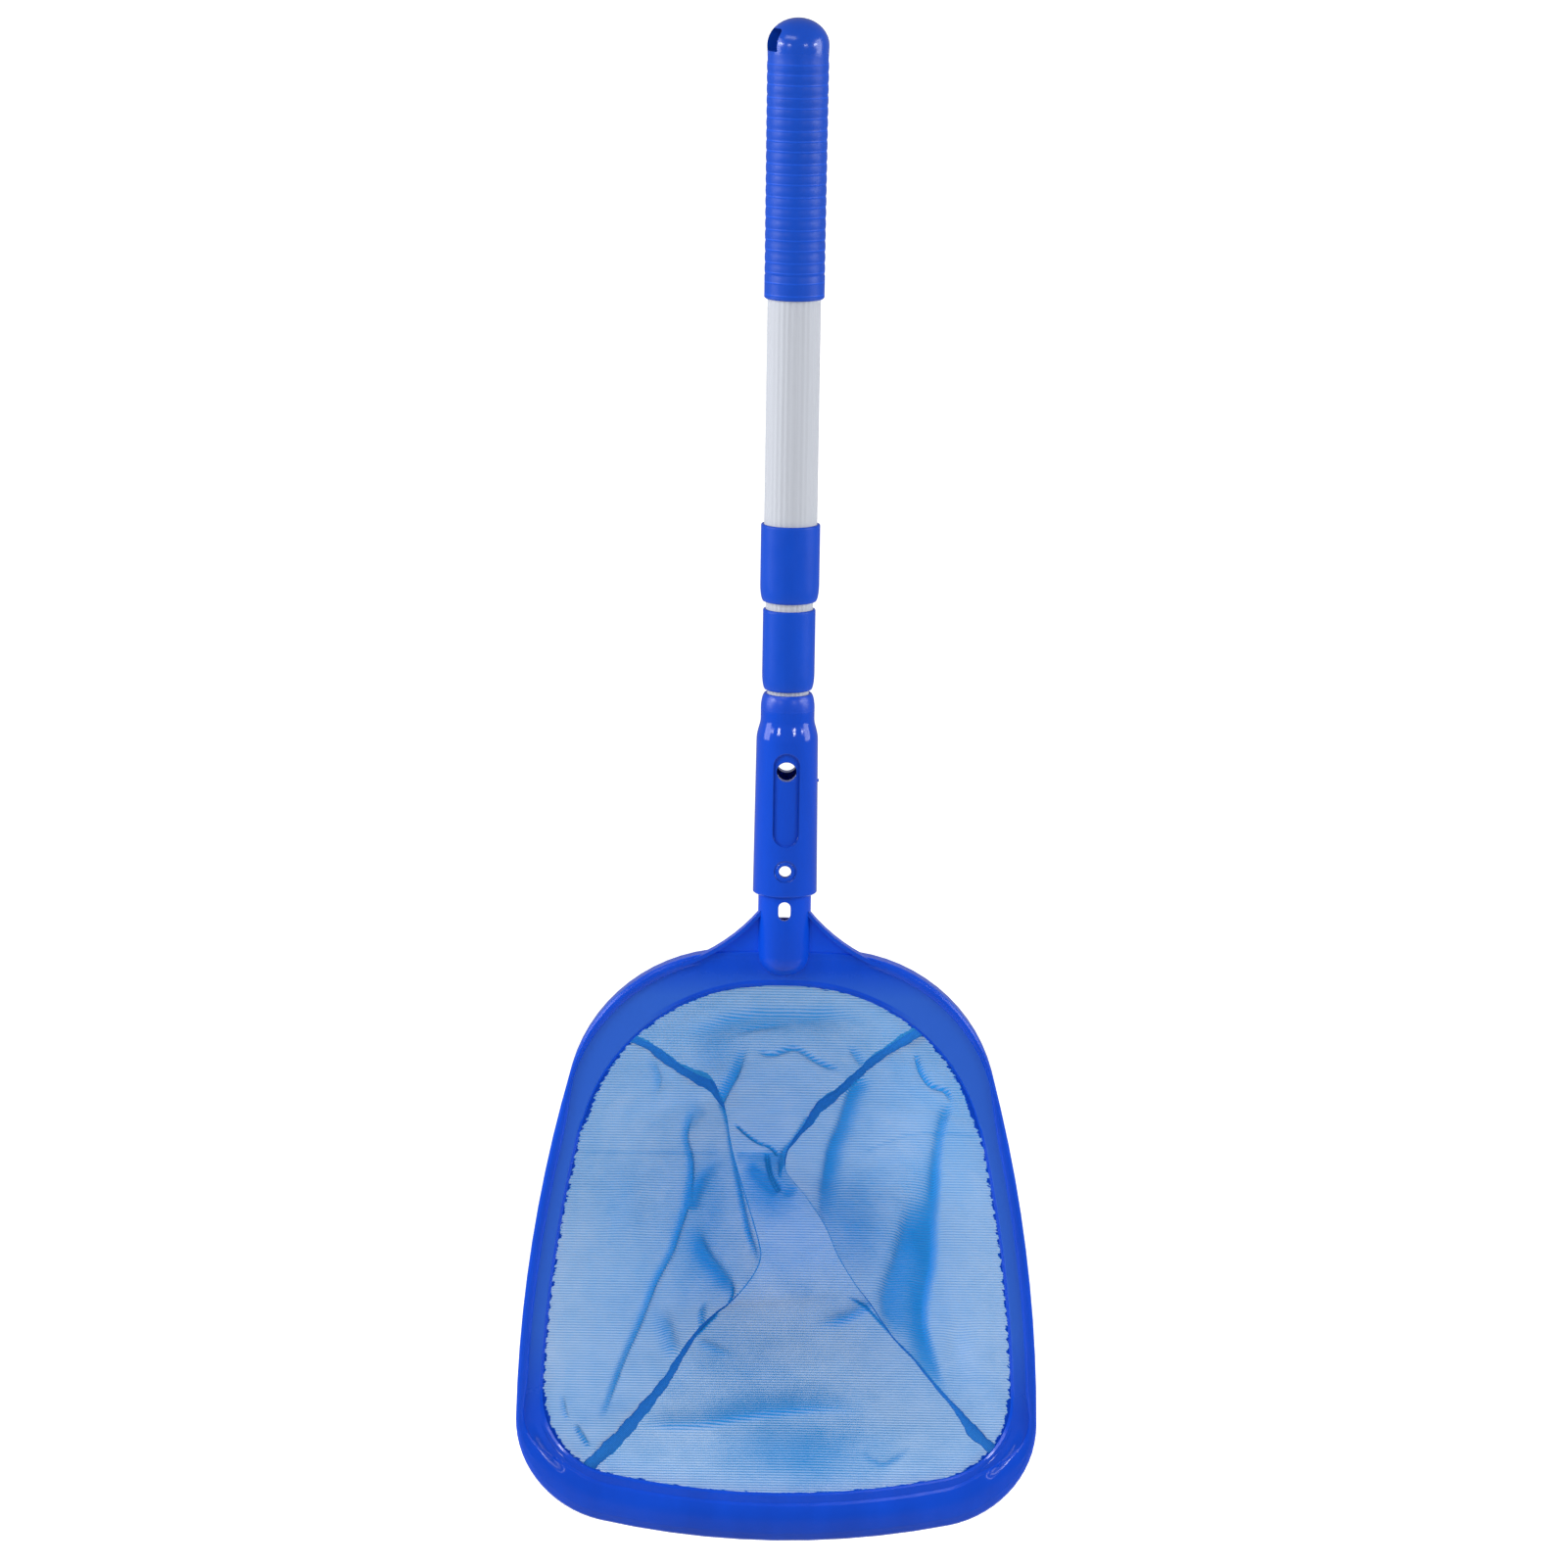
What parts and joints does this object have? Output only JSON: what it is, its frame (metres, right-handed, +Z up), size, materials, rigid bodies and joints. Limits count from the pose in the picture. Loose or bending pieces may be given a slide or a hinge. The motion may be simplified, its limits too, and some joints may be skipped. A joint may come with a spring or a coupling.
{
  "type": "leaf skimmer net",
  "caption": "Telescopic twist-lock pole with a hand grip, and a pull-off moulded scoop frame that holds a deep sewn mesh bag, for lifting leaves out of a pool.",
  "frame": {"origin": "centre of the hanging slot in the grip's dome, on the pole's axis", "axes": "+Z up the pole from the net to the grip, -Y out of the net's mouth, +Y towards the bottom of the bag, X across the width of the net"},
  "size_m": [0.2806, 0.1325, 0.82],
  "materials": {
    "grip_plastic": "soft satin",
    "tube_aluminium": "finely fluted, anodised",
    "collar_plastic": "satin",
    "connector_plastic": "glossy",
    "frame_plastic": "glossy bead, satin flat band",
    "lock_plastic": "natural nylon",
    "screw_steel": "plain",
    "mesh_fabric": "fine open weave",
    "tape_fabric": "woven binding tape"
  },
  "bodies": {
    "outer_section": {"hand_grip": "grip_plastic", "outer_tube": "tube_aluminium", "outer_collar": "collar_plastic"},
    "middle_cam": {"middle_lock_cam": "lock_plastic"},
    "middle_section": {"middle_lock_plug": "lock_plastic", "middle_lock_cap": "lock_plastic", "middle_lock_screw": "screw_steel", "middle_tube": "tube_aluminium", "middle_collar": "collar_plastic"},
    "inner_cam": {"inner_lock_cam": "lock_plastic"},
    "inner_section": {"inner_lock_plug": "lock_plastic", "inner_lock_cap": "lock_plastic", "inner_lock_screw": "screw_steel", "inner_tube": "tube_aluminium", "pole_connector": "connector_plastic"},
    "net_head": {"net_frame": "frame_plastic", "main_panel": "mesh_fabric", "left_panel": "mesh_fabric", "right_panel": "mesh_fabric", "left_seam_tape": "tape_fabric", "right_seam_tape": "tape_fabric"}
  },
  "joints": [
    {"name": "middle_slide", "type": "slide", "parent": "outer_section", "child": "middle_cam", "axis": [0, 0, -1], "range_m": [0, 0.215]},
    {"name": "middle_twist", "type": "hinge", "parent": "middle_cam", "child": "middle_section", "pos_m": [0, 0, -0.03], "axis": [0, 0, 1], "range_deg": [-60, 60]},
    {"name": "inner_slide", "type": "slide", "parent": "middle_section", "child": "inner_cam", "axis": [0, 0, -1], "range_m": [0, 0.215]},
    {"name": "inner_twist", "type": "hinge", "parent": "inner_cam", "child": "inner_section", "pos_m": [0, 0, -0.07], "axis": [0, 0, 1], "range_deg": [-60, 60]},
    {"name": "head_pull_off", "type": "slide", "parent": "inner_section", "child": "net_head", "axis": [0, 0, -1], "range_m": [0, 0.056]}
  ]
}
